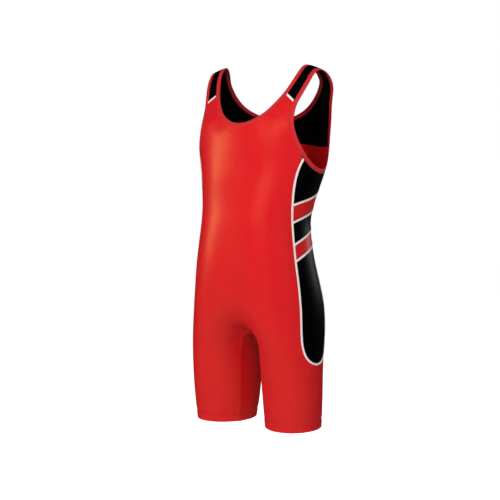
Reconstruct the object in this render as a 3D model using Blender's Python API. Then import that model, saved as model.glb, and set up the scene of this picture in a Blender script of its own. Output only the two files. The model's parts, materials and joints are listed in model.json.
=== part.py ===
"""A wrestling singlet, filled out on a general figure with nobody inside.

Metres, +Z up.  The front faces -Y and the wearer's left side lies at +X.
The origin is midway between the two shoulder straps, on their underside, where the garment is held.
The cloth is a thin wall.  Its inner face lies on a smooth general figure, given by a short table
of level sections, and every seam is a short curve laid on that figure.
"""
import bpy
import numpy as np

MM = 0.001

# Cloth and trim sizes
CLOTH = 1.6 * MM
SEAM_GAP = 0.3 * MM
HEM_HEIGHT = 20.0 * MM
HEM_TURNING = 0.9 * MM
HEM_STEP = 1.5 * MM
BINDING_WIDTH = 10.5 * MM
BINDING_INSIDE = 0.5 * MM
BINDING_OUTSIDE = 2.3 * MM
BINDING_ROUNDING = 0.9 * MM
TAPE_WIDTH = 5.0 * MM
TAPE_LIFT = 0.5 * MM
TAPE_THICKNESS = 0.7 * MM

# Heights, below the strap tops
HEM_Z = -860.0 * MM
FIRST_ROW_Z = HEM_Z + HEM_HEIGHT + HEM_STEP

# Shoulder: how high the figure rounds off, and how it slopes down to the sides
SHOULDER_ROUND = 55.0
SHOULDER_SLOPE = 0.10
STRAP_CENTRE_X = 125.0
NECK_SOFTENING = 20.0

# The general figure, in millimetres: two upright lobes, one each side, melted into each other.
# blend is how softly they melt, lean is how far a lobe's front stands outward of its middle.
FIGURE_COLUMNS = ("height", "lobe_x", "half_width", "front_y", "back_y", "blend", "lean")
FIGURE = np.array([
    (20, 116, 82, -26, 36, 60, -8),
    (-40, 104, 87, -44, 42, 60, -12),
    (-90, 85, 101, -75, 47, 70, -16),
    (-140, 66, 115, -99, 67, 80, -13),
    (-190, 60, 111, -108, 87, 80, -5),
    (-250, 57, 100, -113, 88, 80, 0),
    (-310, 53, 88, -127, 72, 80, 0),
    (-360, 51, 83, -137, 57, 80, 0),
    (-410, 55, 83, -142, 54, 80, 0),
    (-470, 59, 88, -145, 60, 80, 0),
    (-530, 66, 90, -144, 74, 80, -1),
    (-580, 79, 83, -140, 76, 90, -3),
    (-610, 88, 76, -136, 71, 95, -3),
    (-630, 93, 72, -133, 68, 90, -2),
    (-650, 96, 70, -128, 65, 75, 1),
    (-680, 96, 72, -122, 62, 52, 4),
    (-740, 95, 74, -112, 59, 20, 10),
    (-800, 96, 72, -105, 57, 10, 10),
    (-870, 98, 66, -99, 50, 10, 5),
], dtype=float)

# Curves on the figure, in millimetres, with a name where another seam meets them.
# The columns are (meets, x, y, z).
NECK_EDGE = [
    ("front centre", 0, -111, -136),
    ("", 20, -109, -133),
    ("", 40, -104, -124),
    ("chest line", 60, -94, -109),
    ("", 79, -75, -86),
    ("strap bar", 91, -58, -67),
    ("", 102, -41, -40),
    ("", 109, -26, -16),
    ("", 113, -3, 0),
    ("", 121, 20, -11),
    ("back strap", 128, 38, -40),
    ("", 113, 45, -70),
    ("", 96, 48, -90),
    ("", 76, 51, -105),
    ("", 39, 60, -118),
    ("back centre", 0, 64, -122),
]
ARMHOLE_EDGE = [
    ("strap bar", 133, -66, -88),
    ("", 131, -75, -107),
    ("", 133, -84, -131),
    ("", 140, -85, -157),
    ("", 149, -77, -184),
    ("front seam", 158, -60, -212),
    ("", 163, -38, -232),
    ("", 164, -12, -242),
    ("", 161, 15, -244),
    ("", 157, 38, -237),
    ("back seam", 153, 54, -219),
    ("yoke seam", 152, 62, -194),
    ("", 155, 57, -165),
    ("", 163, 45, -133),
    ("back strap", 169, 36, -100),
    ("", 171, 30, -70),
    ("", 168, 24, -42),
    ("", 162, 14, -17),
    ("", 156, -2, -8),
    ("", 151, -19, -18),
    ("", 145, -39, -47),
    ("strap bar", 133, -66, -88),
]

# The side panel's two seams: front and back, from the armhole down to the rounded end on the thigh.
SIDE_FRONT = [
    ("armhole", 154, -69, -220),
    ("", 141, -76, -246),
    ("", 133, -80, -285),
    ("band 1", 130, -81, -326),
    ("band 2", 129, -81, -367),
    ("band 3", 134, -82, -418),
    ("band 4", 139, -83, -456),
    ("", 148, -82, -505),
    ("", 156, -82, -560),
    ("", 162, -85, -611),
    ("round end", 165, -86, -641),
]
SIDE_BACK = [
    ("armhole", 142, 57, -228),
    ("", 134, 52, -256),
    ("band 1", 122, 44, -286),
    ("band 2", 109, 33, -327),
    ("band 3", 103, 26, -378),
    ("band 4", 109, 25, -416),
    ("", 121, 27, -470),
    ("", 133, 29, -530),
    ("", 143, 30, -590),
    ("round end", 153, 27, -641),
]
SIDE_ROUND_END = [
    ("front", 165, -86, -641),
    ("", 168, -82, -668),
    ("", 174, -69, -688),
    ("", 178, -50, -698),
    ("", 179, -31, -701),
    ("", 177, -12, -698),
    ("outer seam", 168, 10, -686),
    ("", 158, 22, -666),
    ("back", 153, 27, -641),
]
YOKE_SEAM = [
    ("back centre", 0, 92, -183),
    ("", 50, 91, -184),
    ("", 95, 84, -190),
    ("armhole", 137, 68, -198),
]
# Leg seams: the inner one lies towards the front, the outer one towards the back.
INNER_SEAM = [
    ("hem", 36, -57, -838),
    ("", 33, -59, -790),
    ("", 30, -62, -740),
    ("", 28, -64, -695),
    ("", 27, -62, -660),
    ("", 22, -66, -642),
    ("", 12, -66, -633),
    ("crotch", 0, -64, -629),
]
OUTER_SEAM = [
    ("hem", 145, 22, -838),
    ("", 152, 20, -780),
    ("", 157, 17, -730),
    ("round end", 168, 10, -686),
]
THIGH_FRONT = [
    ("crotch", 0, -64, -629),
    ("", 24, -98, -634),
    ("", 60, -121, -638),
    ("", 100, -125, -641),
    ("", 140, -112, -642),
    ("round end", 165, -86, -641),
]
SEAT_LINE = [
    ("round end", 168, 10, -686),
    ("", 152, 30, -672),
    ("", 120, 47, -658),
    ("", 82, 56, -648),
    ("", 40, 53, -634),
    ("crotch", 0, 34, -613),
]
CROTCH_LINE = [
    ("seat", 0, 34, -613),
    ("", 0, -15, -630),
    ("front", 0, -64, -629),
]
CENTRE_FRONT = [
    ("crotch", 0, -64, -629),
    ("", 0, -97, -616),
    ("", 0, -122, -596),
    ("", 0, -137, -565),
    ("", 0, -142, -450),
    ("", 0, -128, -310),
    ("", 0, -114, -220),
    ("neck", 0, -113, -147),
]
CENTRE_BACK = [
    ("crotch", 0, 34, -613),
    ("", 0, 58, -594),
    ("", 0, 72, -570),
    ("", 0, 56, -400),
    ("", 0, 74, -300),
    ("yoke", 0, 92, -183),
]

# How many rounds a panel's grid is evened out for
EVENING_ROUNDS = 40

# How many steps each stretch of seam is divided into
STEPS = {
    "neck to chest line": 5,
    "chest line": 7,
    "chest strap": 10,
    "strap bar": 4,
    "over shoulder": 22,
    "back neck": 8,
    "yoke armhole": 6,
    "below yoke": 2,
    "side top": 10,
    "side upper": 5,
    "side band": 2,
    "side lower": 8,
    "round end front": 8,
    "round end back": 2,
    "front width": 12,
    "seat": 14,
    "crotch": 6,
    "leg": 7,
}

# Working values of the geometry, in millimetres and degrees
SETTLE_ROUNDS = 8
SLOPE_REACH = 0.5
FLATTEST_SLOPE = 1e-4
POINTS_PER_ROW = 24
WELD = 0.01
SHARPEST_MITER = 0.4
SOFTEST_EDGE = 50.0

RED = (0.70, 0.016, 0.021)
BLACK = (0.004, 0.004, 0.005)
WHITE = (0.86, 0.83, 0.81)
ROUGHNESS = 0.6
SHEEN = 0.2


def column(name, z):
    """One column of the figure's table at height z, read from a smooth curve through its rows."""
    order = np.argsort(FIGURE[:, 0])
    heights = FIGURE[order, 0]
    values = FIGURE[order, FIGURE_COLUMNS.index(name)]
    steps = np.diff(heights)
    slopes = np.diff(values) / steps
    tangents = np.empty_like(values)
    tangents[1:-1] = (slopes[1:] * steps[:-1] + slopes[:-1] * steps[1:]) / (heights[2:] - heights[:-2])
    tangents[0] = slopes[0]
    tangents[-1] = slopes[-1]
    z = np.clip(z, heights[0], heights[-1])
    row = np.clip(np.searchsorted(heights, z) - 1, 0, len(heights) - 2)
    step = heights[row + 1] - heights[row]
    t = (z - heights[row]) / step
    start = (1 + 2 * t) * (1 - t) ** 2 * values[row] + t * (1 - t) ** 2 * step * tangents[row]
    end = t * t * (3 - 2 * t) * values[row + 1] + t * t * (t - 1) * step * tangents[row + 1]
    return start + end


def figure(points):
    """How far outside the figure each point lies, in millimetres: negative inside, zero on it."""
    x, y, z = points[..., 0], points[..., 1], points[..., 2]
    half_width = column("half_width", z)
    front_y = column("front_y", z)
    back_y = column("back_y", z)
    half_depth = (back_y - front_y) / 2
    depth = (y - (front_y + back_y) / 2) / half_depth
    centre = column("lobe_x", z) - column("lean", z) * depth
    sideways = np.sqrt(x * x + NECK_SOFTENING ** 2) - STRAP_CENTRE_X
    cap = np.maximum(0, z + SHOULDER_ROUND + SHOULDER_SLOPE * sideways) / SHOULDER_ROUND
    size = np.minimum(half_width, half_depth)
    left = (np.sqrt(((x - centre) / half_width) ** 2 + depth ** 2 + cap ** 2) - 1) * size
    right = (np.sqrt(((x + centre) / half_width) ** 2 + depth ** 2 + cap ** 2) - 1) * size
    blend = column("blend", z)
    melt = np.maximum(blend - np.abs(left - right), 0) / blend
    return np.minimum(left, right) - melt ** 2 * blend / 4


def slope_of_figure(points):
    """The figure's gradient at each point."""
    slope = np.empty_like(points)
    for axis in range(3):
        step = np.zeros(3)
        step[axis] = SLOPE_REACH
        slope[..., axis] = (figure(points + step) - figure(points - step)) / (2 * SLOPE_REACH)
    return slope


def outward(points):
    """The unit normal of the figure at each point."""
    slope = slope_of_figure(points)
    return slope / np.linalg.norm(slope, axis=-1, keepdims=True)


def settle(points, keep_height=False, rounds=SETTLE_ROUNDS):
    """Move points along the figure's slope until they lie on it."""
    points = np.array(points, dtype=float)
    for _ in range(rounds):
        slope = slope_of_figure(points)
        if keep_height:
            slope[..., 2] = 0
        square = np.maximum((slope * slope).sum(axis=-1), FLATTEST_SLOPE)
        points = points - slope * (figure(points) / square)[..., None]
    return points


def smooth_path(rows):
    """A dense smooth path through a curve's rows, laid on the figure, and where its names fall."""
    corners = np.array([row[1:] for row in rows], dtype=float)
    before = 2 * corners[0] - corners[1]
    after = 2 * corners[-1] - corners[-2]
    if np.allclose(corners[0], corners[-1]):
        before = corners[-2]
        after = corners[1]
    knots = np.vstack([before, corners, after])
    pieces = []
    for i in range(1, len(knots) - 2):
        a, b, c, d = knots[i - 1:i + 3]
        t = np.linspace(0, 1, POINTS_PER_ROW, endpoint=False)[:, None]
        cubic = (2 * a - 5 * b + 4 * c - d) * t ** 2 + (3 * b - a - 3 * c + d) * t ** 3
        pieces.append(b + 0.5 * ((c - a) * t + cubic))
    pieces.append(corners[-1:])
    marks = {}
    for i, row in enumerate(rows):
        if row[0]:
            marks.setdefault(row[0], []).append(i * POINTS_PER_ROW)
    return settle(np.vstack(pieces)), marks


def share_out(path, steps):
    """Points that divide a path into equal steps of length."""
    lengths = np.concatenate([[0], np.cumsum(np.linalg.norm(np.diff(path, axis=0), axis=1))])
    wanted = np.linspace(0, lengths[-1], steps + 1)
    shared = np.stack([np.interp(wanted, lengths, path[:, axis]) for axis in range(3)], axis=-1)
    return settle(shared)


def stretches(rows, steps):
    """Cut a curve at its named rows and divide each stretch into its number of steps."""
    path, marks = smooth_path(rows)
    cuts = sorted(index for places in marks.values() for index in places)
    return [share_out(path[a:b + 1], n) for a, b, n in zip(cuts[:-1], cuts[1:], steps)]


def between(path, start_cut, end_cut):
    """The same run of points with a length taken off each end."""
    lengths = np.concatenate([[0], np.cumsum(np.linalg.norm(np.diff(path, axis=0), axis=1))])
    middle = (lengths > start_cut + 1) & (lengths < lengths[-1] - end_cut - 1)
    wanted = np.concatenate([[start_cut], lengths[middle], [lengths[-1] - end_cut]])
    return settle(np.stack([np.interp(wanted, lengths, path[:, axis]) for axis in range(3)], axis=-1))


def join(*parts):
    """One run of points from several that follow each other."""
    return np.vstack([parts[0]] + [part[1:] for part in parts[1:]])


def straight(start, end, steps):
    """A straight line between two points, pressed on to the figure."""
    t = np.linspace(0, 1, 8 * steps + 1)[:, None]
    return share_out(settle(start + (end - start) * t), steps)


def tangents(path, closed=False):
    """Unit directions along a run of points."""
    if closed:
        ahead = np.roll(path, -1, axis=0) - np.roll(path, 1, axis=0)
    else:
        ahead = np.gradient(path, axis=0)
    return ahead / np.linalg.norm(ahead, axis=-1, keepdims=True)


def step_aside(path, distance, closed=False):
    """Move a run of points sideways on the figure, to the left of its direction seen from outside."""
    aside = np.cross(outward(path), tangents(path, closed))
    return settle(path + aside * distance)


def coons(bottom, right, top, left):
    """A grid of points between four seams, laid on the figure and evened out.

    Rows run from bottom to top."""
    def shares(path):
        lengths = np.concatenate([[0], np.cumsum(np.linalg.norm(np.diff(path, axis=0), axis=1))])
        return lengths / lengths[-1]

    v_shares = (shares(left) + shares(right)) / 2
    grid = np.empty((len(left), len(bottom), 3))
    for j, v in enumerate(v_shares):
        u = ((1 - v) * shares(bottom) + v * shares(top))[:, None]
        across = (1 - v) * bottom + v * top
        along = (1 - u) * left[j] + u * right[j]
        low = (1 - v) * ((1 - u) * bottom[0] + u * bottom[-1])
        high = v * ((1 - u) * top[0] + u * top[-1])
        grid[j] = across + along - low - high
    for _ in range(EVENING_ROUNDS):
        around = grid[:-2, 1:-1] + grid[2:, 1:-1] + grid[1:-1, :-2] + grid[1:-1, 2:]
        grid[1:-1, 1:-1] = settle(around / 4, rounds=2)
    grid[1:-1, 1:-1] = settle(grid[1:-1, 1:-1])
    return grid


def mirrored(grid):
    """The same grid on the other side of the garment."""
    return grid * np.array([-1.0, 1.0, 1.0])


class Sheet:
    """Cloth cut in one piece: points on the figure and the faces between them."""

    def __init__(self):
        self.points = []
        self.faces = []
        self.known = {}

    def point(self, place):
        key = tuple(np.round(np.asarray(place) / WELD).astype(int))
        if key not in self.known:
            self.known[key] = len(self.points)
            self.points.append(np.array(place, dtype=float))
        return self.known[key]

    def add(self, grid):
        """Weld a grid to the sheet, with its faces turned outward."""
        rows, columns = grid.shape[:2]
        number = [[self.point(grid[j, i]) for i in range(columns)] for j in range(rows)]
        turns = np.cross(grid[1:, 1:] - grid[:-1, :-1], grid[1:, :-1] - grid[:-1, 1:])
        middles = (grid[1:, 1:] + grid[:-1, :-1] + grid[1:, :-1] + grid[:-1, 1:]) / 4
        facing_in = (turns * outward(middles)).sum() < 0
        for j in range(rows - 1):
            for i in range(columns - 1):
                face = [number[j][i], number[j][i + 1], number[j + 1][i + 1], number[j + 1][i]]
                if facing_in:
                    face.reverse()
                self.faces.append(face)
        return self

    def rim(self):
        """The directed edges that only one face has."""
        edges = {}
        for face in self.faces:
            for a, b in zip(face, face[1:] + face[:1]):
                edges[(a, b)] = True
        return [(a, b) for a, b in edges if (b, a) not in edges]

    def trimmed(self, gap):
        """Points with the rim drawn in by a gap, so that neighbours stand clear of each other."""
        points = np.array(self.points)
        normals = outward(points)
        pulls = {}
        for a, b in self.rim():
            run = points[b] - points[a]
            run = run / np.linalg.norm(run)
            for end in (a, b):
                inward = np.cross(normals[end], run)
                pulls.setdefault(end, []).append(inward / np.linalg.norm(inward))
        moved = points.copy()
        for end, directions in pulls.items():
            first, second = directions[0], directions[-1]
            miter = (first + second) / max(1 + np.dot(first, second), SHARPEST_MITER)
            moved[end] = points[end] + miter * gap
        return settle(moved)


def wall(sheet, inside, outside):
    """The closed solid between two offsets of a sheet, which may differ from point to point."""
    points = sheet.trimmed(SEAM_GAP / MM / 2)
    hem_floor = HEM_Z / MM
    at_hem = np.abs(points[:, 2] - hem_floor) < 1
    points[at_hem, 2] = hem_floor
    normals = outward(points)
    normals[at_hem, 2] = 0
    normals[at_hem] /= np.linalg.norm(normals[at_hem], axis=1, keepdims=True)
    turned_in = points[:, 2] < (HEM_Z + HEM_HEIGHT) / MM + 0.4
    depth = np.where(turned_in, inside / MM + HEM_TURNING / MM, inside / MM)
    inner = points - normals * depth[:, None]
    outer = points + normals * (outside / MM)
    count = len(points)
    faces = [[k + count for k in face] for face in sheet.faces]
    faces += [list(reversed(face)) for face in sheet.faces]
    faces += [[a, b, b + count, a + count] for a, b in sheet.rim()]
    return np.vstack([inner, outer]) * MM, faces


def slant(path, end, line):
    """How far along a path its end must move, for each step sideways, to run parallel to a line."""
    ahead = tangents(path)[end]
    side = np.cross(outward(path[end]), ahead)
    return np.dot(line, ahead) / np.dot(line, side)


def swept(path, profile, closed, slants=(0.0, 0.0)):
    """A closed solid with one section all along a path on the figure.

    The profile's points are (sideways, outward) in metres, sideways to the left of the path.
    The two slants turn an open path's end faces to suit the lines that they meet."""
    ahead = tangents(path, closed)
    side = np.cross(outward(path), ahead)
    rings = []
    for across, out in profile:
        lane = path + side * (across / MM)
        if not closed:
            lane[0] += ahead[0] * slants[0] * across / MM
            lane[-1] += ahead[-1] * slants[1] * across / MM
        lane = settle(lane)
        rings.append(lane + outward(lane) * (out / MM))
    rings = np.stack(rings, axis=1)
    stations, corners = rings.shape[:2]
    faces = []
    for i in range(stations if closed else stations - 1):
        here = i * corners
        there = (i + 1) % stations * corners
        for j in range(corners):
            k = (j + 1) % corners
            faces.append([here + j, here + k, there + k, there + j])
    if not closed:
        faces.append(list(range(corners - 1, -1, -1)))
        faces.append([(stations - 1) * corners + j for j in range(corners)])
    return rings.reshape(-1, 3) * MM, faces


def split_quads(points, faces):
    """Quads cut along their shorter diagonal, so that both flanks are cut alike."""
    triangles = []
    for face in faces:
        if len(face) != 4:
            triangles.append(face)
            continue
        a, b, c, d = face
        if np.linalg.norm(points[a] - points[c]) <= np.linalg.norm(points[b] - points[d]):
            triangles += [[a, b, c], [a, c, d]]
        else:
            triangles += [[a, b, d], [b, c, d]]
    return triangles


def signed_volume(points, faces):
    """Six times the volume that the faces enclose, positive when they point outward."""
    total = 0.0
    for face in faces:
        a = points[face[0]]
        for b, c in zip(face[1:-1], face[2:]):
            total += np.dot(a, np.cross(points[b], points[c]))
    return total


def cloth_material(name, colour):
    """A plain cloth colour."""
    material = bpy.data.materials.new(name)
    material.use_nodes = True
    shader = material.node_tree.nodes["Principled BSDF"]
    shader.inputs["Base Color"].default_value = (*colour, 1.0)
    shader.inputs["Roughness"].default_value = ROUGHNESS
    shader.inputs["Metallic"].default_value = 0.0
    shader.inputs["Sheen Weight"].default_value = SHEEN
    material.diffuse_color = (*colour, 1.0)
    return material


def place(name, solid, colour):
    """Make the named object of one piece."""
    points, faces = solid
    if signed_volume(points, faces) < 0:
        faces = [list(reversed(face)) for face in faces]
    mesh = bpy.data.meshes.new(name)
    mesh.from_pydata([tuple(p) for p in points], [], split_quads(points, faces))
    mesh.validate()
    mesh.shade_smooth()
    mesh.set_sharp_from_angle(angle=np.radians(SOFTEST_EDGE))
    mesh.materials.append(cloth_material(name + "_cloth", colour))
    piece = bpy.data.objects.new(name, mesh)
    bpy.context.scene.collection.objects.link(piece)
    return piece


def leg_level(z, start, end, steps):
    """Points round one leg at a level, between two points of its outline, by way of the front or back.

    start and end are azimuths in degrees about the leg's middle, 0 to the front and 90 outward."""
    angles = np.radians(np.linspace(start, end, steps + 1))
    centre_x = column("lobe_x", z)
    centre_y = (column("front_y", z) + column("back_y", z)) / 2
    half_width = column("half_width", z)
    ring = np.stack([
        centre_x + half_width * np.sin(angles),
        centre_y - half_width * np.cos(angles),
        np.full(len(angles), float(z)),
    ], axis=-1)
    return settle(ring, keep_height=True)


def azimuth_on_leg(place_on_leg):
    """The azimuth of a point about its leg's middle, in degrees."""
    x, y, z = place_on_leg
    centre_y = (column("front_y", z) + column("back_y", z)) / 2
    return np.degrees(np.arctan2(x - column("lobe_x", z), centre_y - y))


def both_sides(half):
    """A closed ring from one half that starts and ends on the centre line."""
    return np.vstack([half, mirrored(half)[-2:0:-1]])


def cut_into(line, stretches_of_edge, names, seams):
    """Name the stretches of a line that runs beside an edge, step for step."""
    cuts = np.cumsum([0] + [len(part) - 1 for part in stretches_of_edge])
    for name, a, b in zip(names, cuts[:-1], cuts[1:]):
        seams[name] = line[a:b + 1]


def opening_seams():
    """The neck and armhole edges, and the lines beside them where the bindings meet the panels."""
    s = STEPS
    seams = {}
    neck = stretches(NECK_EDGE, [
        s["neck to chest line"], s["chest strap"], s["over shoulder"], s["back neck"]])
    neck_ring = both_sides(join(*neck))
    inner = step_aside(neck_ring, -BINDING_WIDTH / MM, closed=True)
    names = ("neck to chest line", "neck chest strap", "neck over shoulder", "back neck")
    cut_into(inner, neck, names, seams)
    armhole = stretches(ARMHOLE_EDGE, [
        s["chest strap"], s["side top"], s["below yoke"], s["yoke armhole"], s["over shoulder"]])
    armhole_ring = join(*armhole)[:-1]
    inner = step_aside(armhole_ring, -BINDING_WIDTH / MM, closed=True)
    names = ("chest armhole", "side top", "below yoke", "yoke armhole", "armhole over shoulder")
    cut_into(np.vstack([inner, inner[:1]]), armhole, names, seams)
    seams["neck edge"] = neck_ring
    seams["armhole edge"] = armhole_ring
    return seams


def pinned(rows, first=None, last=None):
    """A curve's rows with its ends moved to where it meets its neighbours."""
    rows = list(rows)
    if first is not None:
        rows[0] = (rows[0][0], *first)
    if last is not None:
        rows[-1] = (rows[-1][0], *last)
    return rows


def on_centre(row):
    """A named point of the centre line, laid on the figure."""
    return settle(np.array((0.0, row[2], row[3])))


def side_seams(seams):
    """The side panel's outline, its four cross seams and its rounded end."""
    s = STEPS
    counts = [s["side upper"], s["side band"], s["side band"], s["side band"], s["side lower"]]
    names = ("upper", "band 1", "middle", "band 2", "lower")
    front = stretches(pinned(SIDE_FRONT, first=seams["side top"][0]), counts)
    back = stretches(pinned(SIDE_BACK, first=seams["side top"][-1]), counts)
    ends = pinned(SIDE_ROUND_END, front[-1][-1], back[-1][-1])
    end_front, end_back = stretches(ends, [s["round end front"], s["round end back"]])
    for name, a, b in zip(names, front, back):
        seams["front " + name] = a
        seams["back " + name] = b
    seams["end front"] = end_front
    seams["end back"] = end_back
    for number, name in enumerate(names[1:], start=1):
        start = seams["front " + name][0]
        end = seams["back " + name][0]
        seams["cross %d" % number] = straight(start, end, s["side top"])
    return seams


def leg_seams(seams):
    """The seams of one leg and the lines that divide it from the body of the garment."""
    s = STEPS
    outer_top = seams["end front"][-1]
    crotch_front = on_centre(CROTCH_LINE[-1])
    seat = on_centre(CROTCH_LINE[0])
    first_row = FIRST_ROW_Z / MM
    inner_azimuth = azimuth_on_leg((INNER_SEAM[0][1], INNER_SEAM[0][2], first_row))
    outer_azimuth = azimuth_on_leg((OUTER_SEAM[0][1], OUTER_SEAM[0][2], first_row))
    front_steps = s["front width"] + s["round end front"]
    back_steps = s["seat"] + s["crotch"]
    levels = {
        "hem": HEM_Z / MM,
        "hem top": (HEM_Z + HEM_HEIGHT) / MM,
        "first row": first_row,
    }
    for name, z in levels.items():
        seams["front " + name] = leg_level(z, inner_azimuth, outer_azimuth, front_steps)
        seams["back " + name] = leg_level(z, outer_azimuth, inner_azimuth + 360, back_steps)
    inner_rows = pinned(INNER_SEAM, seams["front first row"][0], crotch_front)
    outer_rows = pinned(OUTER_SEAM, seams["front first row"][-1], outer_top)
    seams["inner"] = stretches(inner_rows, [s["leg"]])[0]
    seams["outer"] = stretches(outer_rows, [s["leg"]])[0]
    thigh_rows = pinned(THIGH_FRONT, crotch_front, seams["end front"][0])
    seams["thigh front"] = stretches(thigh_rows, [s["front width"]])[0]
    seams["seat"] = stretches(pinned(SEAT_LINE, outer_top, seat), [s["seat"]])[0]
    seams["crotch"] = stretches(pinned(CROTCH_LINE, seat, crotch_front), [s["crotch"]])[0]
    return seams


def body_seams(seams):
    """Centre lines, chest line, strap bar, strap end and yoke seam."""
    s = STEPS
    rise = s["side lower"] + 3 * s["side band"] + s["side upper"]
    front_rows = pinned(CENTRE_FRONT, seams["crotch"][-1], seams["neck to chest line"][0])
    seams["centre front"] = stretches(front_rows, [rise])[0]
    yoke_rows = pinned(YOKE_SEAM, last=seams["yoke armhole"][0])
    seams["yoke"] = stretches(yoke_rows, [s["back neck"] + s["strap bar"]])[0]
    back_rows = pinned(CENTRE_BACK, seams["seat"][-1], seams["yoke"][0])
    seams["centre back"] = stretches(back_rows, [rise + s["round end back"]])[0]
    seams["centre yoke"] = straight(seams["yoke"][0], seams["back neck"][-1], s["yoke armhole"])
    seams["chest line"] = straight(
        seams["neck to chest line"][-1], seams["chest armhole"][-1], s["chest line"])
    seams["bar"] = straight(
        seams["neck chest strap"][-1], seams["chest armhole"][0], s["strap bar"])
    seams["strap end"] = straight(
        seams["neck over shoulder"][-1], seams["yoke armhole"][-1], s["strap bar"])
    return seams


def front_panel(seams):
    """The whole front: chest, belly and leg fronts, cut in one."""
    up = ("lower", "band 2", "middle", "band 1", "upper")
    side = join(*(seams["front " + name][::-1] for name in up))
    top = join(seams["neck to chest line"], seams["chest line"])
    body = coons(seams["thigh front"], side, top, seams["centre front"])
    bar = straight(seams["bar"][0], seams["bar"][-1], STEPS["chest line"])
    strap = coons(seams["chest line"], seams["chest armhole"][::-1], bar, seams["neck chest strap"])
    leg_top = join(seams["thigh front"], seams["end front"])
    leg = coons(seams["front first row"], seams["outer"], leg_top, seams["inner"])
    hem = np.stack([seams["front hem"], seams["front hem top"], seams["front first row"]])
    sheet = Sheet()
    for grid in (body, strap, leg, hem):
        sheet.add(grid).add(mirrored(grid))
    return sheet


def back_panel(seams):
    """The back below the yoke, the seat and the leg backs, which reach round to the inner seams."""
    down = ("upper", "band 1", "middle", "band 2", "lower")
    side = join(*(seams["back " + name] for name in down))
    side = join(side, seams["end back"][::-1])
    top = join(seams["below yoke"], seams["yoke"][::-1])
    body = coons(seams["seat"], seams["centre back"], top, side[::-1])
    leg_top = join(seams["seat"], seams["crotch"])
    leg = coons(seams["back first row"], seams["inner"], leg_top, seams["outer"])
    hem = np.stack([seams["back hem"], seams["back hem top"], seams["back first row"]])
    sheet = Sheet()
    for grid in (body, leg, hem):
        sheet.add(grid).add(mirrored(grid))
    return sheet


def back_yoke(seams):
    """The upper back with both straps, which come over the shoulders down to the front bars."""
    strap = coons(seams["bar"], seams["armhole over shoulder"][::-1], seams["strap end"],
                  seams["neck over shoulder"])
    top = join(seams["back neck"][::-1], seams["strap end"])
    yoke = coons(seams["yoke"], seams["yoke armhole"], top, seams["centre yoke"])
    sheet = Sheet()
    for grid in (strap, yoke):
        sheet.add(grid).add(mirrored(grid))
    return sheet


SIDE_STRETCHES = ("upper", "band 1", "middle", "band 2", "lower")
SIDE_COLOURS = (BLACK, RED, BLACK, RED, BLACK)
SIDE_NAMES = ("side_upper", "side_bar_1", "side_middle", "side_bar_2", "side_lower")
BINDING_PROFILE = (
    (-BINDING_WIDTH + SEAM_GAP / 2, BINDING_OUTSIDE),
    (-BINDING_WIDTH + SEAM_GAP / 2, -BINDING_INSIDE),
    (-BINDING_ROUNDING, -BINDING_INSIDE),
    (0.0, -BINDING_INSIDE + BINDING_ROUNDING),
    (0.0, BINDING_OUTSIDE - BINDING_ROUNDING),
    (-BINDING_ROUNDING, BINDING_OUTSIDE),
)
TAPE_PROFILE = (
    (-TAPE_WIDTH / 2, CLOTH + TAPE_LIFT),
    (TAPE_WIDTH / 2, CLOTH + TAPE_LIFT),
    (TAPE_WIDTH / 2, CLOTH + TAPE_LIFT + TAPE_THICKNESS),
    (-TAPE_WIDTH / 2, CLOTH + TAPE_LIFT + TAPE_THICKNESS),
)
# How far, in millimetres, a tape stops short of the line of a binding, or of another tape's middle
TAPE_TO_BINDING = 0.8
TAPE_TO_TAPE = 3.3


def side_sheets(seams):
    """The side panel's five parts, from the armhole down to the rounded end on the thigh."""
    sheets = []
    lines = [seams["side top"]] + [seams["cross %d" % n] for n in (1, 2, 3, 4)]
    lines.append(join(seams["end front"], seams["end back"]))
    for name, top, bottom in zip(SIDE_STRETCHES, lines[:-1], lines[1:]):
        front = seams["front " + name][::-1]
        back = seams["back " + name][::-1]
        sheets.append(coons(bottom, back, top, front))
    return sheets


def flank(points, side):
    """Points of the left flank, or the same on the right."""
    return points if side == "left" else mirrored(points)


def tape_between(path, cut, start_line, end_line, side):
    """A flat tape along a path, its ends cut parallel to the two lines that it runs between."""
    path = between(path, cut, cut)
    slants = (slant(path, 0, start_line), slant(path, -1, end_line))
    points, faces = swept(path, TAPE_PROFILE, False, slants)
    return flank(points, side), faces


def place_side(seams, side):
    """All the pieces of one flank: the side panel, its tapes, the strap bar and the armhole binding."""
    for name, colour, grid in zip(SIDE_NAMES, SIDE_COLOURS, side_sheets(seams)):
        sheet = Sheet().add(flank(grid, side))
        place(name + "_" + side, wall(sheet, 0.0, CLOTH), colour)
    down = [seams["front " + name] for name in SIDE_STRETCHES]
    up = [seams["back " + name][::-1] for name in SIDE_STRETCHES[::-1]]
    outline = join(*down, seams["end front"], seams["end back"], *up)
    armhole = seams["side top"]
    tape = tape_between(outline, TAPE_TO_BINDING, armhole[1] - armhole[0], armhole[-1] - armhole[-2], side)
    place("side_tape_" + side, tape, WHITE)
    for number, name in enumerate(SIDE_STRETCHES[1:], start=1):
        front = seams["front " + name]
        back = seams["back " + name]
        tape = tape_between(
            seams["cross %d" % number], TAPE_TO_TAPE, front[1] - front[0], back[1] - back[0], side)
        place("cross_tape_%d_%s" % (number, side), tape, WHITE)
    neck = seams["neck chest strap"]
    chest = seams["chest armhole"]
    tape = tape_between(seams["bar"], TAPE_TO_BINDING, neck[-1] - neck[-2], chest[1] - chest[0], side)
    place("strap_bar_" + side, tape, WHITE)
    points, faces = swept(seams["armhole edge"], BINDING_PROFILE, True)
    place("armhole_binding_" + side, (flank(points, side), faces), RED)


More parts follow.
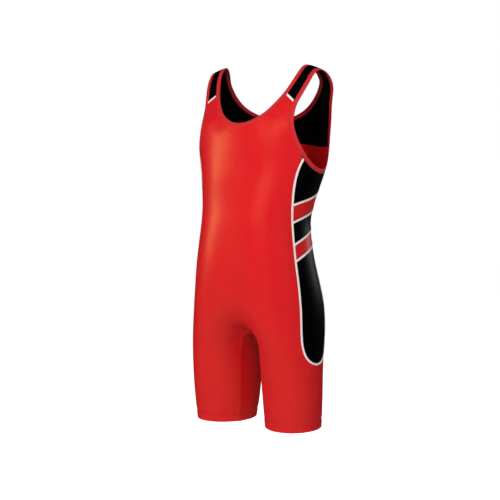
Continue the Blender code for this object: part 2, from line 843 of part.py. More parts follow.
def build():
    """Make every piece of the garment."""
    for old in list(bpy.data.objects):
        bpy.data.objects.remove(old, do_unlink=True)
    seams = opening_seams()
    side_seams(seams)
    leg_seams(seams)
    body_seams(seams)
    place("front_panel", wall(front_panel(seams), 0.0, CLOTH), RED)
    place("back_panel", wall(back_panel(seams), 0.0, CLOTH), RED)
    place("back_yoke", wall(back_yoke(seams), 0.0, CLOTH), BLACK)
    place("neck_binding", swept(seams["neck edge"], BINDING_PROFILE, True), RED)
    for side in ("left", "right"):
        place_side(seams, side)


build()
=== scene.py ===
# %% [markdown]
# # A wrestling singlet, filled out as if worn
#
# The object is one stretch-knit garment: a red front and back, a black upper back with two
# straps, black side panels with two red bars, white seam tapes and red edge bindings.
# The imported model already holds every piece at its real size, as a plain closed wall.
# This script dresses that frame: each piece is cut again as thin cloth on the same form, gets
# soft creases and a folded hem, and is sewn with modelled stitches.

import json
import math

import bmesh
import bpy
from mathutils import Matrix, Vector, noise
from mathutils.bvhtree import BVHTree
from mathutils.kdtree import KDTree

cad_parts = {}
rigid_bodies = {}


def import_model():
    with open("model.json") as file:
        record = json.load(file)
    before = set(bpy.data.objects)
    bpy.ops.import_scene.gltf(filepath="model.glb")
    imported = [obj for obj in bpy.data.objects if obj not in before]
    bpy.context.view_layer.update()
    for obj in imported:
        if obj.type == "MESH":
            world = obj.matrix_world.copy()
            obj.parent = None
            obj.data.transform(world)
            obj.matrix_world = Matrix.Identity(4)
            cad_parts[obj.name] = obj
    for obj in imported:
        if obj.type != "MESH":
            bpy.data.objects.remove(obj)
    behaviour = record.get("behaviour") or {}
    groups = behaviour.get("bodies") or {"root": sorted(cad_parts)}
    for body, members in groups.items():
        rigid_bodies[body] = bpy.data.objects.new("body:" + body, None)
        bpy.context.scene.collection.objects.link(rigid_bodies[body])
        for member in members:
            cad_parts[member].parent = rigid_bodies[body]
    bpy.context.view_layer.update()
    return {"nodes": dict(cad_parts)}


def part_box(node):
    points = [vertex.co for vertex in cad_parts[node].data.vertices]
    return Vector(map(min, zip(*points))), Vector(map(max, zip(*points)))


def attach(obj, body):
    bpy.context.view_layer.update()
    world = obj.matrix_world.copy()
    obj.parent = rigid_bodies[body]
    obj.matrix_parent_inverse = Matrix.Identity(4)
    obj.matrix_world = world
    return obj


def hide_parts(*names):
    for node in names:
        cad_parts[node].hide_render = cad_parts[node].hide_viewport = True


for old in list(bpy.data.objects):
    bpy.data.objects.remove(old, do_unlink=True)
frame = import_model()

# %% [markdown]
# Sizes that the whole script shares come first, in metres. The hem is 20 mm deep, and its
# height comes from the frame. AXIS is a point on the upright middle line of the garment, from
# which outside and inside are told apart.

# %% Shared sizes
MM = 0.001
BODY = "root"
SIDES = ("left", "right")
HEM_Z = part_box("front_panel")[0].z
HEM_HEIGHT = 20 * MM
ABOVE_HEM_EDGE = HEM_Z + 1 * MM
CLOTH = 0.9 * MM
HEM_CLOTH = 2.0 * MM
MERGE = 0.02 * MM
AXIS = Vector((0.0, -0.030, 0.0))
print("hem at:", round(HEM_Z, 4), "cloth:", CLOTH)


def new_object(name, data):
    """A new object in the scene, at the origin, with a mesh, a light or a camera as its data."""
    piece = bpy.data.objects.new(name, data)
    bpy.context.scene.collection.objects.link(piece)
    return piece


def select_only(piece):
    """Make one object the only selected and active one, as the operators expect."""
    bpy.ops.object.select_all(action="DESELECT")
    piece.select_set(True)
    bpy.context.view_layer.objects.active = piece


def apply_modifier(piece, kind, **settings):
    """Add a modifier with its settings and apply it at once."""
    select_only(piece)
    modifier = piece.modifiers.new(kind.lower(), kind)
    for name, value in settings.items():
        setattr(modifier, name, value)
    bpy.ops.object.modifier_apply(modifier=modifier.name)


def shade(piece, angle):
    """Shade a piece smooth, except across edges that are sharper than the angle."""
    select_only(piece)
    bpy.ops.object.shade_smooth_by_angle(angle=angle)


# %% [markdown]
# A node of the frame is a closed wall of loose triangles: an outer skin, an inner skin and a rim.
# Real cloth is one thin layer, so only the outer skin is kept and given a thickness later.
# A wall's skins are the faces with the other skin close behind them, which a short ray finds.
# Of the two skins, the outer one faces away from the middle of the garment.

# %% Read a frame node
QUAD_FLATNESS = math.radians(60)
QUAD_SQUARENESS = math.radians(70)


def merged_copy(node):
    """The node's mesh with its loose triangles merged, as a new bmesh."""
    shape = bmesh.new()
    shape.from_mesh(frame["nodes"][node].data)
    bmesh.ops.remove_doubles(shape, verts=shape.verts, dist=MERGE)
    shape.normal_update()
    return shape


def join_into_quads(shape):
    """Join the triangles in pairs, so that a subdivision follows the rows of the wall."""
    bmesh.ops.join_triangles(
        shape, faces=shape.faces,
        angle_face_threshold=QUAD_FLATNESS, angle_shape_threshold=QUAD_SQUARENESS,
    )


def as_object(shape, name):
    """A new object from a bmesh."""
    mesh = bpy.data.meshes.new(name)
    shape.to_mesh(mesh)
    shape.free()
    return new_object(name, mesh)


# %% [markdown]
# The ray starts just inside a face and runs straight through the wall. Where it meets a face
# that looks the other way, there is cloth between the two, and the face belongs to a skin.
# Otherwise it belongs to the rim. Without the rim the two skins hang together no more. Where
# the wall bends sharply near its rim, a few faces of the skin are lost with it, and what is
# left then has small extra rings beside its outer border.

# %% Take the outer skin of a wall
FACING_AWAY = -0.7


def islands(shape):
    """Groups of faces that hang together."""
    left = set(shape.faces)
    found = []
    while left:
        todo = [left.pop()]
        island = []
        while todo:
            face = todo.pop()
            island.append(face)
            for edge in face.edges:
                for other in edge.link_faces:
                    if other in left:
                        left.remove(other)
                        todo.append(other)
        found.append(island)
    return found


def looks_outward(faces):
    """How much a group of faces turns away from the garment's middle, by area."""
    total = 0.0
    for face in faces:
        away = face.calc_center_median() - AXIS
        away.z = 0.0
        total += face.calc_area() * face.normal.dot(away)
    return total


def outer_skin(node, thickest, facing_away=FACING_AWAY):
    """The outer skin of a wall that is nowhere thicker than this."""
    shape = merged_copy(node)
    tree = BVHTree.FromBMesh(shape)
    rim = []
    for face in shape.faces:
        start = face.calc_center_median() - face.normal * MERGE
        place, normal, _, _ = tree.ray_cast(start, -face.normal, thickest)
        if place is None or normal.dot(face.normal) > facing_away:
            rim.append(face)
    bmesh.ops.delete(shape, geom=rim, context="FACES")
    groups = islands(shape)
    best = max(groups, key=looks_outward)
    spare = [face for group in groups if group is not best for face in group]
    bmesh.ops.delete(shape, geom=spare, context="FACES")
    join_into_quads(shape)
    return shape


# %% [markdown]
# Seams are the borders of the skins. Their points are read off before the skins are changed,
# because the stitches follow them later.

# %% Read the border of a skin
RING_STEP = 2 * MM


def length_of(ring):
    """The length of a closed ring of points."""
    return sum((a - b).length for a, b in zip(ring, ring[1:] + ring[:1]))


def border(shape):
    """The border of a skin as rings of points, each in order, with the longest first."""
    after = {}
    for edge in shape.edges:
        if edge.is_boundary:
            loop = edge.link_loops[0]
            after[loop.vert.index] = loop.link_loop_next.vert.index
    shape.verts.ensure_lookup_table()
    rings = []
    while after:
        start, following = after.popitem()
        ring = [start]
        while following != start and following in after:
            ring.append(following)
            following = after.pop(following)
        rings.append([shape.verts[i].co.copy() for i in ring])
    return sorted(rings, key=length_of, reverse=True)


def finer(ring, step=RING_STEP):
    """A closed ring with more points, none further apart than the step."""
    points = []
    for a, b in zip(ring, ring[1:] + ring[:1]):
        count = max(1, math.ceil((b - a).length / step))
        points += [a.lerp(b, k / count) for k in range(count)]
    return points


# %% [markdown]
# Worn stretch cloth is smooth and tight nearly everywhere. It only draws soft creases at the
# crotch, in the groin, under the seat and down the legs. Each crease here is a row of a table:
# its two ends, its depth and its half width. Points near the line between the ends move in by
# a soft bell curve that fades towards both ends. The creases are uneven on purpose, so the two
# legs aren't mirror images.

# %% The table of creases
CREASES = (
    # start, end, depth and half width of each crease
    # groin and crotch, in front
    ((-0.012, -0.085, -0.625), (-0.062, -0.128, -0.596), 1.1 * MM, 6 * MM),
    ((-0.016, -0.078, -0.634), (-0.075, -0.122, -0.622), 0.9 * MM, 5 * MM),
    ((0.010, -0.088, -0.622), (0.052, -0.132, -0.590), 1.3 * MM, 7 * MM),
    ((0.014, -0.078, -0.632), (0.070, -0.124, -0.618), 1.2 * MM, 6 * MM),
    ((0.002, -0.110, -0.612), (0.006, -0.138, -0.560), 1.0 * MM, 9 * MM),
    # down the legs
    ((0.112, -0.112, -0.745), (0.122, -0.104, -0.835), 1.1 * MM, 9 * MM),
    ((0.078, -0.112, -0.700), (0.070, -0.104, -0.790), 0.8 * MM, 8 * MM),
    ((-0.118, -0.108, -0.730), (-0.128, -0.098, -0.820), 1.0 * MM, 9 * MM),
    ((-0.070, -0.110, -0.715), (-0.064, -0.100, -0.800), 0.8 * MM, 8 * MM),
    # waist and ribs
    ((-0.120, -0.085, -0.330), (-0.060, -0.128, -0.352), 0.6 * MM, 12 * MM),
    ((0.060, -0.128, -0.338), (0.118, -0.090, -0.318), 0.6 * MM, 12 * MM),
    # under the seat, behind
    ((0.018, 0.050, -0.632), (0.082, 0.060, -0.655), 1.5 * MM, 8 * MM),
    ((-0.016, 0.050, -0.634), (-0.078, 0.060, -0.660), 1.4 * MM, 8 * MM),
    ((0.006, 0.040, -0.625), (0.040, 0.072, -0.585), 1.1 * MM, 8 * MM),
    ((-0.008, 0.040, -0.625), (-0.038, 0.072, -0.590), 1.2 * MM, 8 * MM),
    ((0.108, 0.050, -0.720), (0.114, 0.048, -0.810), 0.9 * MM, 9 * MM),
    ((-0.104, 0.050, -0.735), (-0.108, 0.048, -0.820), 0.9 * MM, 9 * MM),
    # small of the back
    ((-0.060, 0.058, -0.368), (0.050, 0.060, -0.380), 0.8 * MM, 13 * MM),
    ((-0.040, 0.060, -0.402), (0.062, 0.058, -0.392), 0.7 * MM, 12 * MM),
)
print("creases:", len(CREASES))

# %% [markdown]
# Cloth over a body is never quite even either, so a slow random noise moves every point in or
# out by a fraction of a millimetre.

# %% Press the creases in
SOFTNESS = 0.35 * MM
SOFT_SPAN = 0.075
CREASE_FADE = 0.3
CREASE_REACH = 3
CREASE_SHARPNESS = 1.4


def crease_depth(point):
    """How far a point of the cloth moves in, summed over the creases near it."""
    depth = 0.0
    for start, end, deepest, half_width in CREASES:
        start = Vector(start)
        line = Vector(end) - start
        along = (point - start).dot(line) / line.length_squared
        if -CREASE_FADE < along < 1 + CREASE_FADE:
            aside = (point - start - line * along).length
            if aside < CREASE_REACH * half_width:
                fade = min(1.0, (along + CREASE_FADE) / (2 * CREASE_FADE))
                fade = min(fade, (1 + CREASE_FADE - along) / (2 * CREASE_FADE))
                fade = fade * fade * (3 - 2 * fade)
                bell = math.exp(-0.5 * (aside / half_width * CREASE_SHARPNESS) ** 2)
                depth += deepest * fade * bell
    return depth


def soften(piece):
    """Press the creases and a faint unevenness into a cloth skin."""
    normals = [vertex.normal.copy() for vertex in piece.data.vertices]
    for vertex, normal in zip(piece.data.vertices, normals):
        uneven = noise.noise(vertex.co / SOFT_SPAN) * SOFTNESS
        vertex.co -= normal * (crease_depth(vertex.co) + uneven)


# %% [markdown]
# Each panel is laid flat as it would be cut, by unwrapping the skin, and the flat map is turned
# and scaled so that one unit is one metre and the cloth's length runs up. The knit pattern of
# the material then has its real size and follows the grain of each piece.

# %% Lay a skin flat
FLAT_MAP = "cut"


def lay_flat(piece):
    """Unwrap a skin into its own UV map, in metres, with height running along V."""
    mesh = piece.data
    mesh.uv_layers.new(name=FLAT_MAP)
    select_only(piece)
    bpy.ops.object.mode_set(mode="EDIT")
    bpy.ops.mesh.select_all(action="SELECT")
    bpy.ops.uv.unwrap(method="ANGLE_BASED", margin=0.0)
    bpy.ops.object.mode_set(mode="OBJECT")
    flat = mesh.uv_layers[FLAT_MAP].data
    up = Vector((0.0, 0.0))
    real = 0.0
    drawn = 0.0
    for polygon in mesh.polygons:
        loops = list(polygon.loop_indices)
        for a, b in zip(loops, loops[1:] + loops[:1]):
            step = flat[b].uv - flat[a].uv
            places = [mesh.vertices[mesh.loops[i].vertex_index].co for i in (a, b)]
            up += step * (places[1].z - places[0].z)
            real += (places[1] - places[0]).length
            drawn += step.length
    scale = real / drawn
    turn = Matrix.Rotation(math.pi / 2 - math.atan2(up.y, up.x), 2)
    for corner in flat:
        corner.uv = turn @ corner.uv * scale


# %% [markdown]
# The hem is turned up inside and held by two rows of stitches, one on each side of its inner
# edge. The rows draw the cloth in, which shows as two shallow grooves round each leg.

# %% Draw the hem in
HEM_ROWS = (HEM_HEIGHT - 1.5 * MM, HEM_HEIGHT + 2.5 * MM)
STITCH_PULL = 1.1 * MM
STITCH_PULL_REACH = 2.2 * MM
STITCH_PULL_END = 2


def pull_in_at_hem(piece):
    """The two rows of hem stitches draw the cloth in by a hair."""
    for vertex in piece.data.vertices:
        height = vertex.co.z - HEM_Z
        for row in HEM_ROWS:
            reach = (height - row) / STITCH_PULL_REACH
            if abs(reach) < STITCH_PULL_END:
                vertex.co -= vertex.normal * STITCH_PULL * math.exp(-reach * reach)


def hem_group(piece):
    """A vertex group that is full in the hem, where the cloth lies double."""
    group = piece.vertex_groups.new(name="double")
    single = CLOTH / HEM_CLOTH
    for vertex in piece.data.vertices:
        in_hem = vertex.co.z < HEM_Z + HEM_HEIGHT
        group.add([vertex.index], 1.0 if in_hem else single, "REPLACE")
    return group.name


# %% [markdown]
# Down the inside of each leg the tight cloth stands up in a low, soft fold along the seam. The
# points of the panel's border that lie there are kept in a search tree, and the cloth near them
# is lifted, less and less with the distance.

# %% Raise the fold along the inner leg seam
SEAM_RIDGE = 2.0 * MM
SEAM_RIDGE_REACH = 7 * MM
SEAM_RIDGE_FAR = 5 * SEAM_RIDGE_REACH
SEAM_RIDGE_TOP = -0.625
INSIDE_LEG = 0.085
IN_FRONT = -0.040


def on_inner_leg_seam(place):
    """Whether a point of a panel's border lies on the inner leg seam."""
    below_crotch = ABOVE_HEM_EDGE < place.z < SEAM_RIDGE_TOP
    return below_crotch and abs(place.x) < INSIDE_LEG and place.y < IN_FRONT


def raise_inner_seam(piece, ring):
    """Lift the cloth near the inner leg seam; a panel without that seam stays as it is."""
    seam = [place for place in ring if on_inner_leg_seam(place)]
    if not seam:
        return
    tree = KDTree(len(seam))
    for index, place in enumerate(seam):
        tree.insert(place, index)
    tree.balance()
    normals = [vertex.normal.copy() for vertex in piece.data.vertices]
    for vertex, normal in zip(piece.data.vertices, normals):
        distance = tree.find(vertex.co)[2]
        if distance < SEAM_RIDGE_FAR:
            vertex.co += normal * SEAM_RIDGE * math.exp(-distance / SEAM_RIDGE_REACH)


# %% [markdown]
# A seam is a shallow groove: the cut edges roll in and are stitched together. Each border point
# moves out in the plane of the cloth until it meets the next panel, and a little inward. Where
# a band covers the edge, the cloth runs on under the band instead.

# %% Roll the borders in
SEAM_PULL = 0.45 * MM
SEAM_MEETS = 0.22 * MM
TUCK_UNDER_BAND = 0.95 * MM
BAND_NEAR = 1.5 * MM
BANDS = ("neck_binding", "armhole_binding_left", "armhole_binding_right")
BAND_TREES = [BVHTree.FromBMesh(merged_copy(node)) for node in BANDS]
print("bands over the borders:", len(BAND_TREES))


def pull_in_at_border(piece):
    """Roll the cloth in along its cut edge, up to its neighbour or under its band."""
    shape = bmesh.new()
    shape.from_mesh(piece.data)
    shape.normal_update()
    moves = {}
    for edge in shape.edges:
        if edge.is_boundary and min(vertex.co.z for vertex in edge.verts) > ABOVE_HEM_EDGE:
            face = edge.link_faces[0]
            along = (edge.verts[1].co - edge.verts[0].co).normalized()
            out = face.normal.cross(along)
            if out.dot(edge.verts[0].co - face.calc_center_median()) < 0:
                out = -out
            for vertex in edge.verts:
                moves.setdefault(vertex, []).append(out)
    for vertex, ways in moves.items():
        out = sum(ways, Vector()).normalized()
        at_band = any(tree.find_nearest(vertex.co, BAND_NEAR)[0] for tree in BAND_TREES)
        vertex.co += out * (TUCK_UNDER_BAND if at_band else SEAM_MEETS) - vertex.normal * SEAM_PULL
    shape.to_mesh(piece.data)
    shape.free()


# %% [markdown]
# A panel is made in order: take the skin, lay it flat, subdivide it smoothly, press the creases
# in, raise the fold, roll the borders in, and give it the thickness of the knit. The thickness
# grows inward only, so the outside stays where the frame has it, and the inner face gets the
# second material. At the hem the cloth lies double, so a vertex group makes the wall thicker.

# %% Make a cloth panel
PANEL_THICKEST = 3.5 * MM
PANEL_SMOOTH_BELOW = math.radians(60)


def cloth_panel(node, name, levels, has_hem=False):
    """The node's outer skin as real cloth: smooth, softly creased and thin."""
    skin = outer_skin(node, PANEL_THICKEST)
    rings = border(skin)
    piece = as_object(skin, name)
    lay_flat(piece)
    apply_modifier(
        piece, "SUBSURF", levels=levels, render_levels=levels,
        boundary_smooth="PRESERVE_CORNERS", uv_smooth="PRESERVE_BOUNDARIES",
    )
    soften(piece)
    raise_inner_seam(piece, finer(rings[0]))
    pull_in_at_border(piece)
    for _ in ("outside", "inside"):
        piece.data.materials.append(None)
    wall = {"thickness": CLOTH}
    if has_hem:
        pull_in_at_hem(piece)
        wall = {"thickness": HEM_CLOTH, "vertex_group": hem_group(piece)}
    apply_modifier(piece, "SOLIDIFY", offset=-1.0, use_even_offset=False, material_offset=1, **wall)
    piece.vertex_groups.clear()
    shade(piece, PANEL_SMOOTH_BELOW)
    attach(piece, BODY)
    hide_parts(node)
    print(name, "faces:", len(piece.data.polygons), "border rings:", [len(ring) for ring in rings])
    return piece, rings


# %% [markdown]
# The big panels are cut first, then the five parts of each side, which alternate black and red.
# The side parts are small and bend sharply round the ribs, so they are divided once more.

# %% Cut all the panels
BIG_LEVELS = 2
SIDE_LEVELS = 3
SIDE_PARTS = ("side_upper", "side_bar_1", "side_middle", "side_bar_2", "side_lower")
panels = {}
borders = {}
for node, name, has_hem in (
    ("front_panel", "red_front", True),
    ("back_panel", "red_back", True),
    ("back_yoke", "black_yoke", False),
):
    panels[node], borders[node] = cloth_panel(node, name, BIG_LEVELS, has_hem)
for side in SIDES:
    for part in SIDE_PARTS:
        node = part + "_" + side
        panels[node], borders[node] = cloth_panel(node, "cloth_" + node, SIDE_LEVELS)

# %% [markdown]
# The knit of a band or a tape turns with it, so it gets its own map: one way counts metres
# along a line beside the piece and the other the distance from that line. The line is first
# made finer with a smooth curve through its points.

# %% Map a piece along a line


def smooth_line(points, closed, steps=6):
    """A finer line through points, as a smooth cubic curve that passes through each of them."""
    count = len(points)
    fine = []
    for i in range(count if closed else count - 1):
        if closed:
            a, b, c, d = (points[(i + k) % count] for k in (-1, 0, 1, 2))
        else:
            b, c = points[i], points[i + 1]
            a = points[i - 1] if i else b * 2 - c
            d = points[i + 2] if i + 2 < count else c * 2 - b
        for k in range(steps):
            t = k / steps
            curve = (a * 2 - b * 5 + c * 4 - d) * t * t + (b * 3 - a - c * 3 + d) * t * t * t
            fine.append(b + ((c - a) * t + curve) * 0.5)
    if not closed:
        fine.append(points[-1].copy())
    return fine


def running_length(line):
    """How far along a line each of its points lies."""
    lengths = [0.0]
    for a, b in zip(line, line[1:]):
        lengths.append(lengths[-1] + (b - a).length)
    return lengths


def map_along(piece, line):
    """A UV map in metres, with V along a line beside the piece and U away from it."""
    lengths = running_length(line)
    whole = lengths[-1]
    tree = KDTree(len(line))
    for i, point in enumerate(line):
        tree.insert(point, i)
    tree.balance()
    mesh = piece.data
    flat = mesh.uv_layers.new(name=FLAT_MAP).data
    found = [tree.find(vertex.co) for vertex in mesh.vertices]
    for polygon in mesh.polygons:
        first = None
        for loop in polygon.loop_indices:
            _, index, aside = found[mesh.loops[loop].vertex_index]
            along = lengths[index]
            first = along if first is None else first
            if along - first > whole / 2:
                along -= whole
            elif first - along > whole / 2:
                along += whole
            flat[loop].uv = (aside, along)


# %% [markdown]
# The neck and armholes are edged with a folded band. Its section is a flat loop with a rounded
# fold at the opening and a straight lip that lies over the cloth. The frame holds it as a ring
# of plain sections, so the real one is that ring with its long edges bevelled and the whole
# smoothed. The lip and the fold are the two borders of its outer skin.

# %% Make the bindings
FOLD_SOFTNESS = 0.55 * MM
FOLD_ANGLE = math.radians(32)
BAND_SMOOTH_BELOW = math.radians(50)
BAND_THICKNESSES = (3.2 * MM, 3.4 * MM, 3.6 * MM, 3.8 * MM, 4.0 * MM)
BAND_FACING_AWAY = -0.5


def band_edges(node):
    """The lip and the fold of a band: the ray gets longer until the skin has both borders."""
    for thickest in BAND_THICKNESSES:
        skin = outer_skin(node, thickest, BAND_FACING_AWAY)
        rings = border(skin)
        skin.free()
        if len(rings) == 2:
            break
    return rings


def binding(node, name):
    """A folded band round an opening, and the lines of its lip and its fold."""
    lip, fold = band_edges(node)
    shape = merged_copy(node)
    join_into_quads(shape)
    piece = as_object(shape, name)
    apply_modifier(
        piece, "BEVEL", width=FOLD_SOFTNESS, segments=2, limit_method="ANGLE", angle_limit=FOLD_ANGLE,
    )
    apply_modifier(piece, "SUBSURF", levels=1, render_levels=1)
    map_along(piece, smooth_line(lip + lip[:1], closed=False))
    shade(piece, BAND_SMOOTH_BELOW)
    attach(piece, BODY)
    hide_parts(node)
    print(name, "faces:", len(piece.data.polygons), "lip length:", round(length_of(lip), 3))
    return piece, (lip, fold)


bindings = {}
band_lines = {}
for node, name in (
    ("neck_binding", "neck_band"),
    ("armhole_binding_left", "armhole_band_left"),
    ("armhole_binding_right", "armhole_band_right"),
):
    bindings[node], band_lines[node] = binding(node, name)

# %% [markdown]
# The white tapes lie flat over the seams of the side panels and across the straps. Each is the
# outer skin of its frame node, smoothed, given the thickness of a woven tape and softened along
# its edges. The two long sides of its border are kept for the stitches.

# %% Make the tapes
TAPE = 1.0 * MM
TAPE_THICKEST = 1.2 * MM
TAPE_EDGE = 0.22 * MM
TAPE_EDGE_ANGLE = math.radians(50)
CROSS_TAPES = (1, 2, 3, 4)


def long_sides(ring):
    """The two long sides of a strip's border, cut at its four sharpest corners."""
    count = len(ring)
    bends = []
    for i in range(count):
        before = ring[i] - ring[i - 1]
        after = ring[(i + 1) % count] - ring[i]
        bends.append(before.angle(after))
    corners = sorted(sorted(range(count), key=lambda i: bends[i])[-4:])
    sides = []
    for a, b in zip(corners, corners[1:] + [corners[0] + count]):
        sides.append([ring[i % count] for i in range(a, b + 1)])
    return sorted(sides, key=len)[-2:]


def tape(node, name):
    """A flat woven tape over a seam, and its two long edges."""
    skin = outer_skin(node, TAPE_THICKEST)
    sides = long_sides(border(skin)[0])
    piece = as_object(skin, name)
    apply_modifier(piece, "SUBSURF", levels=2, render_levels=2, boundary_smooth="PRESERVE_CORNERS")
    apply_modifier(piece, "SOLIDIFY", thickness=TAPE, offset=-1.0)
    apply_modifier(
        piece, "BEVEL", width=TAPE_EDGE, segments=2, limit_method="ANGLE", angle_limit=TAPE_EDGE_ANGLE,
    )
    map_along(piece, smooth_line(sides[0], closed=False))
    shade(piece, TAPE_EDGE_ANGLE)
    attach(piece, BODY)
    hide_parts(node)
    print(name, "faces:", len(piece.data.polygons), "sides:", [len(side) for side in sides])
    return piece, sides


tapes = {}
tape_sides = {}
for side in SIDES:
    names = ["side_tape_" + side, "strap_bar_" + side]
    names += ["cross_tape_%d_%s" % (number, side) for number in CROSS_TAPES]
    for node in names:
        tapes[node], tape_sides[node] = tape(node, "white_" + node)

# %% [markdown]
# The seams are sewn. One stitch is modelled as a small flattened bead and copied along each
# line, so that thread shows nearly wherever the real garment has it: two rows round each hem, two
# along every binding, one along each edge of a tape, and a ladder of overlock stitches across
# the plain seams. A stitch has few faces, because there are thousands.

# %% Model one stitch
STITCH_LENGTH = 2.5 * MM
STITCH_GAP = 0.8 * MM
THREAD = 0.5 * MM
LADDER_WIDTH = 4.0 * MM
LADDER_STEP = 1.7 * MM
LADDER_THREAD = 0.75 * MM
BEAD_SIDES = 6
BEAD_RINGS = 5
bpy.ops.object.select_all(action="DESELECT")
bpy.ops.mesh.primitive_uv_sphere_add(segments=BEAD_SIDES, ring_count=BEAD_RINGS, radius=0.5)
stitch = bpy.context.object
bpy.ops.object.mode_set(mode="EDIT")
bpy.ops.mesh.select_all(action="SELECT")
bpy.ops.transform.rotate(value=math.pi / 2, orient_axis="Y", center_override=(0, 0, 0))
bpy.ops.object.mode_set(mode="OBJECT")
STITCH_POINTS = [vertex.co.copy() for vertex in stitch.data.vertices]
STITCH_FACES = [tuple(polygon.vertices) for polygon in stitch.data.polygons]
bpy.data.objects.remove(stitch, do_unlink=True)
print("stitch faces:", len(STITCH_FACES))

# %% [markdown]
# Lines for the stitches are laid on the finished cloth: points are spaced evenly along a line
# and each is brought to the nearest place on the surface, with the normal that it has there.

# %% Lay lines on the cloth


def surface_of(*pieces):
    """A search tree over the faces of some pieces together."""
    points = []
    faces = []
    for piece in pieces:
        first = len(points)
        points += [vertex.co.copy() for vertex in piece.data.vertices]
        faces += [[first + i for i in polygon.vertices] for polygon in piece.data.polygons]
    return BVHTree.FromPolygons(points, faces)


def spaced(line, step):
    """Points at an even step along a line, each with the direction of the line there."""
    lengths = running_length(line)
    count = int(lengths[-1] / step)
    placed = []
    k = 0
    for i in range(count):
        wanted = (i + 0.5) * lengths[-1] / count
        while lengths[k + 1] < wanted:
            k += 1
        share = (wanted - lengths[k]) / (lengths[k + 1] - lengths[k])
        ahead = line[k + 1] - line[k]
        placed.append((line[k] + ahead * share, ahead.normalized()))
    return placed


def beside(line, other, distance):
    """A line moved towards another one by a distance."""
    moved = []
    for point in line:
        nearest = min(other, key=lambda place: (place - point).length_squared)
        moved.append(point + (nearest - point).normalized() * distance)
    return moved


def row_of_stitches(line, surface, across=False):
    """Stitches along a line on a surface, or lying across it as a ladder."""
    step = STITCH_LENGTH + STITCH_GAP
    size = Vector((STITCH_LENGTH, THREAD, THREAD))
    if across:
        step = LADDER_STEP
        size = Vector((LADDER_WIDTH, LADDER_THREAD, THREAD))
    stitches = []
    for point, ahead in spaced(line, step):
        place, normal, _, _ = surface.find_nearest(point)
        # the nearest face can be an inner one, which looks back at the garment's middle
        if normal.dot(place - AXIS) < 0 and (point - place).length > CLOTH:
            normal = -normal
        along = normal.cross(ahead).normalized() if across else ahead
        aside = normal.cross(along).normalized()
        stitches.append((place, along, aside, aside.cross(along) * -1, size))
    return stitches


def sew(name, stitches):
    """One piece from many stitches."""
    points = []
    faces = []
    for place, along, aside, normal, size in stitches:
        first = len(points)
        for point in STITCH_POINTS:
            spot = place + along * point.x * size.x + aside * point.y * size.y
            points.append(spot + normal * point.z * size.z)
        faces += [[first + i for i in face] for face in STITCH_FACES]
    mesh = bpy.data.meshes.new(name)
    mesh.from_pydata(points, [], faces)
    mesh.shade_smooth()
    piece = new_object(name, mesh)
    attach(piece, BODY)
    print(name, "stitches:", len(stitches), "faces:", len(faces))
    return piece


threads = {}

# %% [markdown]
# The hem's rows are level rings. A ray goes out from the middle of the leg at each angle: it
# meets the inside of the cloth first, and a second one finds the outside, where the thread lies.

# %% Sew the hems
LEG_MIDDLE = Vector((0.097, -0.027, 0.0))
HEM_TURNS = 120
INTO_CLOTH = 0.3 * MM
THROUGH_CLOTH = 4 * MM
hem_surface = surface_of(panels["front_panel"], panels["back_panel"])
hem_stitches = []
for way in (1, -1):
    middle = Vector((LEG_MIDDLE.x * way, LEG_MIDDLE.y, 0.0))
    for row in HEM_ROWS:
        line = []
        for turn in range(HEM_TURNS):
            angle = 2 * math.pi * turn / HEM_TURNS
            out = Vector((math.cos(angle), math.sin(angle), 0.0))
            start = middle + Vector((0, 0, HEM_Z + row))
            inner = hem_surface.ray_cast(start, out)[0]
            outer = None
            if inner:
                outer = hem_surface.ray_cast(inner + out * INTO_CLOTH, out, THROUGH_CLOTH)[0]
            if outer:
                line.append(outer)
        hem_stitches += row_of_stitches(line + line[:1], hem_surface)
threads["red"] = [sew("hem_stitches", hem_stitches)]

# %% [markdown]
# Each band is held by two rows of stitches that run along its lip, on the band itself.

# %% Sew the bindings
BINDING_ROWS = (1.4 * MM, 4.2 * MM)
for node, edges in band_lines.items():
    surface = surface_of(bindings[node])
    stitches = []
    lip_line, fold_line = (smooth_line(edge, closed=True) for edge in edges)
    for row in BINDING_ROWS:
        line = beside(lip_line, fold_line, row)
        stitches += row_of_stitches(line + line[:1], surface)
    threads["red"].append(sew(bindings[node].name + "_stitches", stitches))

# %% [markdown]
# A tape has one row along each long edge, set in a little from that edge.

# %% Sew the tapes
TAPE_ROW = 0.8 * MM
threads["white"] = []
for side in SIDES:
    stitches = []
    for node in [name for name in tapes if name.endswith(side)]:
        surface = surface_of(tapes[node])
        one, other = (smooth_line(edge, closed=False) for edge in tape_sides[node])
        for line, opposite in ((one, other), (other, one)):
            stitches += row_of_stitches(beside(line, opposite, TAPE_ROW), surface)
    threads["white"].append(sew("tape_stitches_" + side, stitches))

# %% [markdown]
# The plain seams are where two panels meet with nothing over them: the inner and outer leg
# seams, and the seam between the back and the yoke. They are found by comparing borders: a
# stretch of one border that has the other panel's border about a millimetre away is a seam.
# Only the longest ring of each border is compared. The front's outer leg seam on the wearer's
# left is in a shorter ring, so no ladder is laid there.

# %% Sew the plain seams
SEAM_REACH = 1.2 * MM


def stretches_beside(ring, other):
    """The stretches of a ring that run beside another ring."""
    near = [min((point - place).length for place in other) < SEAM_REACH for point in ring]
    if all(near):
        return [ring + ring[:1]]
    start = near.index(False)
    runs = [[]]
    for i in range(len(ring)):
        k = (start + i) % len(ring)
        if near[k]:
            runs[-1].append(ring[k])
        elif runs[-1]:
            runs.append([])
    return [run for run in runs if len(run) > 2]


def plain_seam(name, one, other):
    """A ladder of stitches over the seams between two panels."""
    surface = surface_of(panels[one], panels[other])
    stitches = []
    for run in stretches_beside(borders[one][0], borders[other][0]):
        stitches += row_of_stitches(smooth_line(run, closed=False), surface, across=True)
    return sew(name, stitches)


